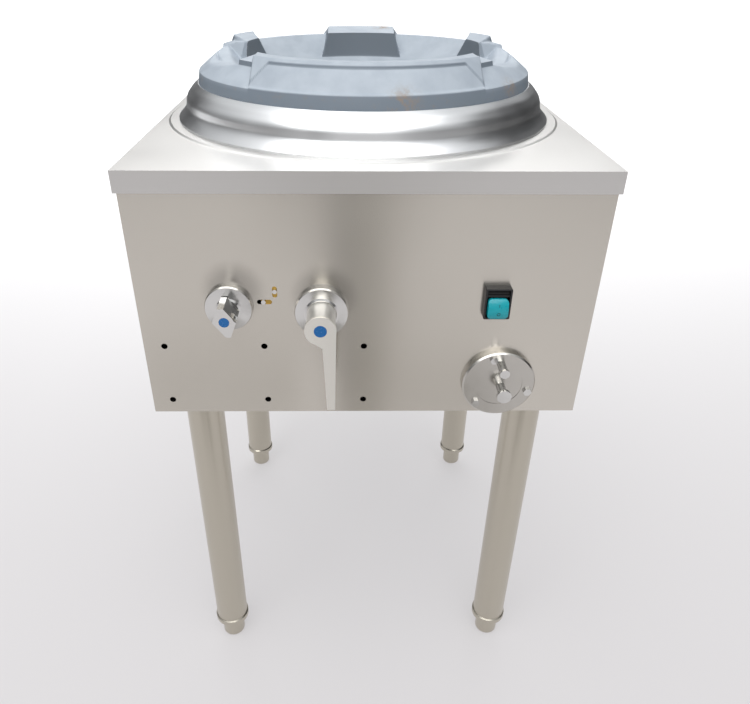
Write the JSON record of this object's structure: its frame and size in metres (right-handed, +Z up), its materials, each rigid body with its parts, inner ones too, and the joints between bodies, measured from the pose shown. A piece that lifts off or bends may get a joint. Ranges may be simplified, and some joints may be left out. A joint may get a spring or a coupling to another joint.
{
  "type": "wok range",
  "caption": "Free-standing stainless wok range on tube legs with a lugged cast ring over a blown burner, valve lever and knob, switch and damper port.",
  "frame": {"origin": "on the floor, under the middle of the outline from the lever's face to the worktop's rear lip", "axes": "+Z up, +Y to the rear, +X to the right as seen from the front"},
  "size_m": [0.6, 0.692, 0.982],
  "materials": {
    "stainless_panels": "brushed",
    "worktop_steel": "fine satin",
    "polished_steel": "mirror polished",
    "leg_steel": "satin",
    "chrome": "polished",
    "ring_casting": "grey heat paint",
    "frame_iron": "matt black paint",
    "burner_iron": "as cast",
    "fire_clay": "rough",
    "brass": "turned",
    "black_plastic": "matt",
    "boot_rubber": "matt",
    "teal_plastic": "gloss",
    "blue_plastic": "gloss",
    "motor_paint": "satin black paint"
  },
  "bodies": {
    "root": {"worktop": "worktop_steel", "bell_collar": "polished_steel", "front_panel": "stainless_panels", "side_panel_left": "stainless_panels", "side_panel_right": "stainless_panels", "back_panel": "stainless_panels", "base_frame": "frame_iron", "leg_sockets": "frame_iron", "leg_front_left": "leg_steel", "leg_front_right": "leg_steel", "leg_rear_left": "leg_steel", "leg_rear_right": "leg_steel", "leg_collars": "leg_steel", "combustion_drum": "frame_iron", "refractory_lining": "fire_clay", "burner_head": "burner_iron", "air_box": "stainless_panels", "air_duct": "stainless_panels", "blower_housing": "stainless_panels", "blower_motor": "motor_paint", "main_valve_body": "brass", "pilot_valve_body": "brass", "fuel_manifold": "brass", "supply_pipe": "leg_steel", "inlet_nipple": "brass", "main_fuel_pipe": "leg_steel", "pilot_tube": "brass", "igniter_bracket": "brass", "bracket_screws": "chrome", "main_escutcheon": "chrome", "pilot_escutcheon": "chrome", "switch_frame": "black_plastic", "switch_body": "black_plastic", "switch_boot": "boot_rubber", "port_cover": "stainless_panels", "port_bolts": "chrome", "port_post": "chrome", "damper_body": "burner_iron", "cable_gland": "black_plastic"},
    "ring": {"wok_ring": "ring_casting"},
    "pilot_handle": {"pilot_knob": "chrome", "pilot_stem": "brass", "pilot_cap": "blue_plastic"},
    "main_handle": {"main_lever": "chrome", "main_stem": "brass", "main_cap": "blue_plastic"},
    "rocker": {"switch_rocker": "teal_plastic"},
    "damper": {"damper_spindle": "chrome", "damper_cam": "brass"},
    "impeller": {"blower_wheel": "black_plastic", "blower_shaft": "chrome"},
    "foot_fl": {"foot_front_left": "leg_steel"},
    "foot_fr": {"foot_front_right": "leg_steel"},
    "foot_rl": {"foot_rear_left": "leg_steel"},
    "foot_rr": {"foot_rear_right": "leg_steel"}
  },
  "joints": [
    {"name": "ring_lift", "type": "slide", "parent": "root", "child": "ring", "axis": [0, 0, 1], "range_m": [0, 0.12]},
    {"name": "pilot_turn", "type": "hinge", "parent": "root", "child": "pilot_handle", "pos_m": [-0.1775, -0.2904, 0.7035], "axis": [0, -1, 0], "range_deg": [0, 90]},
    {"name": "lever_turn", "type": "hinge", "parent": "root", "child": "main_handle", "pos_m": [-0.0585, -0.2904, 0.697], "axis": [0, -1, 0], "range_deg": [0, 90]},
    {"name": "switch_press", "type": "hinge", "parent": "root", "child": "rocker", "pos_m": [0.167, -0.2944, 0.7062], "axis": [-1, 0, 0], "range_deg": [0, 12]},
    {"name": "damper_turn", "type": "hinge", "parent": "root", "child": "damper", "pos_m": [0.1858, -0.2904, 0.584], "axis": [0, -1, 0], "range_deg": [0, 60]},
    {"name": "blower_spin", "type": "hinge", "parent": "root", "child": "impeller", "pos_m": [0, 0.2103, 0.6181], "axis": [1, 0, 0], "continuous": true},
    {"name": "foot_fl_adjust", "type": "slide", "parent": "root", "child": "foot_fl", "axis": [0, 0, 1], "range_m": [-0.02, 0.015]},
    {"name": "foot_fr_adjust", "type": "slide", "parent": "root", "child": "foot_fr", "axis": [0, 0, 1], "range_m": [-0.02, 0.015]},
    {"name": "foot_rl_adjust", "type": "slide", "parent": "root", "child": "foot_rl", "axis": [0, 0, 1], "range_m": [-0.02, 0.015]},
    {"name": "foot_rr_adjust", "type": "slide", "parent": "root", "child": "foot_rr", "axis": [0, 0, 1], "range_m": [-0.02, 0.015]}
  ]
}
